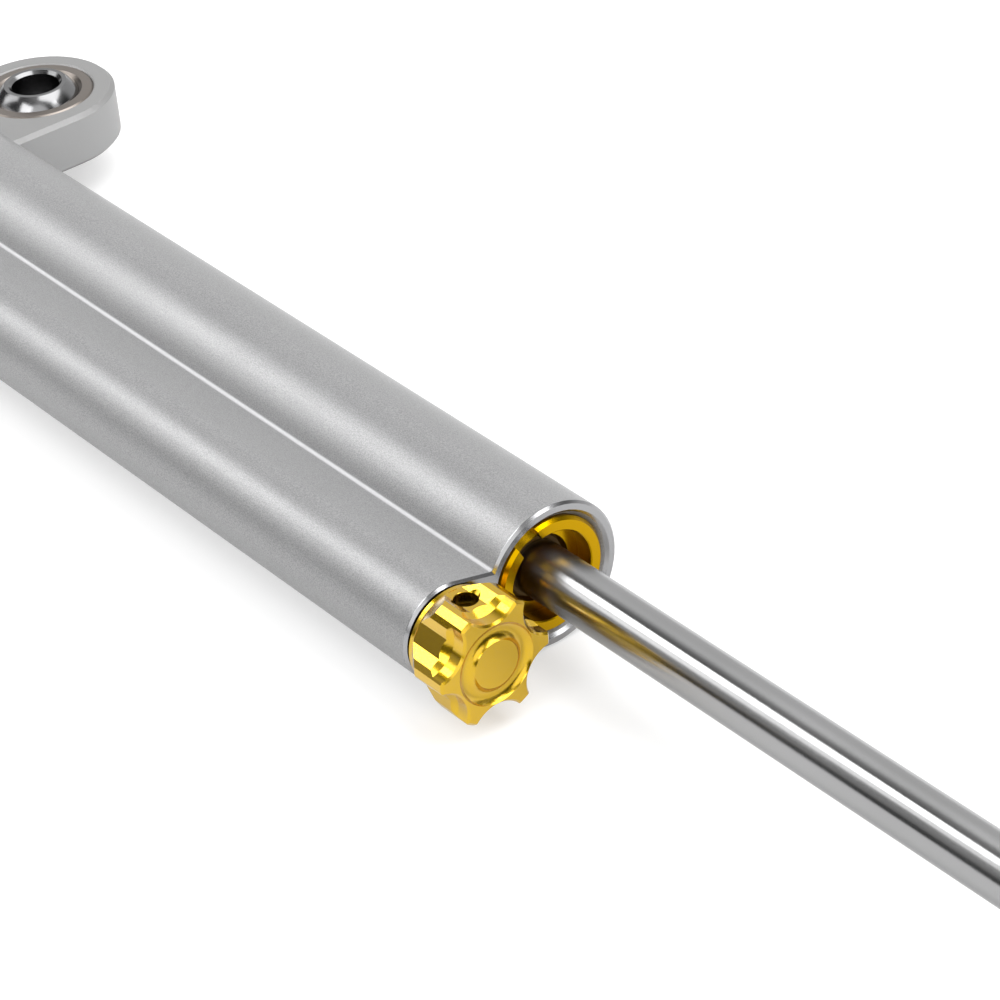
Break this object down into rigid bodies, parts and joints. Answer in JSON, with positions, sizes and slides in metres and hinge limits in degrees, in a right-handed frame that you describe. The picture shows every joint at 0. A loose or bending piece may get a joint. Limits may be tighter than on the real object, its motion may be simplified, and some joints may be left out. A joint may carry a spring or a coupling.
{
  "type": "steering_damper",
  "caption": "Motorcycle steering damper: blasted aluminium body with a piston tube and an adjuster tube, steel rod, gold gland nut, turning gold adjuster knob, bearing eyes",
  "frame": {"origin": "Centre of the bearing ball in the body's eye, on the axis of the frame bolt", "axes": "+X runs along the rod from the body to the rod end, +Y from the adjuster tube to the body's eye, +Z along the bolts of both eyes"},
  "size_m": [0.366, 0.0625, 0.022],
  "materials": {
    "blasted_aluminium": "blasted satin",
    "gold_nut": "gold anodised satin",
    "gold_knob": "gold anodised glossy",
    "turned_aluminium": "turned",
    "black_rubber": "matt",
    "black_band": "matt",
    "bronze": "satin",
    "polished_steel": "polished",
    "zinc_steel": "plated",
    "dark_steel": "black oxide"
  },
  "bodies": {
    "barrel": {"body": "blasted_aluminium", "front_gland_nut": "gold_nut", "rear_gland_nut": "gold_nut", "front_seal_head": "turned_aluminium", "rear_seal_head": "turned_aluminium", "rod_wipers": "black_rubber", "rod_seals": "black_rubber", "guide_bushes": "bronze", "seal_head_orings": "black_rubber", "adjuster_housing": "turned_aluminium", "housing_oring": "black_rubber", "spindle_oring": "black_rubber", "click_ball": "polished_steel", "click_spring": "dark_steel", "compensator_spring": "dark_steel", "rear_plug": "turned_aluminium", "plug_oring": "black_rubber", "fill_screw": "dark_steel"},
    "slider": {"piston_band": "black_band"},
    "rod_group": {"rod": "polished_steel", "piston": "turned_aluminium", "piston_rings": "dark_steel", "jam_nut": "zinc_steel", "rod_end": "zinc_steel"},
    "fork_race": {"rod_end_race": "bronze"},
    "fork_ball": {"rod_end_ball": "polished_steel"},
    "frame_race": {"eye_race": "bronze"},
    "frame_ball": {"eye_ball": "polished_steel"},
    "knob_group": {"knob": "gold_knob", "knob_set_screw": "dark_steel", "adjuster_spindle": "zinc_steel"},
    "needle_group": {"needle": "zinc_steel"},
    "compensator": {"compensator_piston": "turned_aluminium", "compensator_ring": "black_rubber"}
  },
  "joints": [
    {"name": "rod_slide", "type": "slide", "parent": "barrel", "child": "slider", "axis": [1, 0, 0], "range_m": [-0.12, 0]},
    {"name": "rod_turn", "type": "hinge", "parent": "slider", "child": "rod_group", "pos_m": [0.14, -0.023, 0], "axis": [1, 0, 0], "continuous": true},
    {"name": "fork_eye_turn", "type": "hinge", "parent": "rod_group", "child": "fork_race", "pos_m": [0.33, -0.023, 0], "axis": [0, 0, 1], "continuous": true},
    {"name": "fork_eye_tilt", "type": "hinge", "parent": "fork_race", "child": "fork_ball", "pos_m": [0.33, -0.023, 0], "axis": [1, 0, 0], "range_deg": [-12, 12]},
    {"name": "frame_eye_turn", "type": "hinge", "parent": "barrel", "child": "frame_race", "pos_m": [0, 0, 0], "axis": [0, 0, 1], "continuous": true},
    {"name": "frame_eye_tilt", "type": "hinge", "parent": "frame_race", "child": "frame_ball", "pos_m": [0, 0, 0], "axis": [1, 0, 0], "range_deg": [-12, 12]},
    {"name": "knob_turn", "type": "hinge", "parent": "barrel", "child": "knob_group", "pos_m": [0.164, -0.0406, 0], "axis": [1, 0, 0], "range_deg": [-360, 360]},
    {"name": "needle_slide", "type": "slide", "parent": "barrel", "child": "needle_group", "axis": [1, 0, 0], "range_m": [-0.00075, 0.00075]},
    {"name": "compensator_slide", "type": "slide", "parent": "barrel", "child": "compensator", "axis": [1, 0, 0], "range_m": [-0.0025, 0.0005], "deforming": ["compensator_spring"]}
  ],
  "couplings": [
    {"joint": "needle_slide", "follows": "knob_turn", "m_per_rad": 0.00011937}
  ]
}
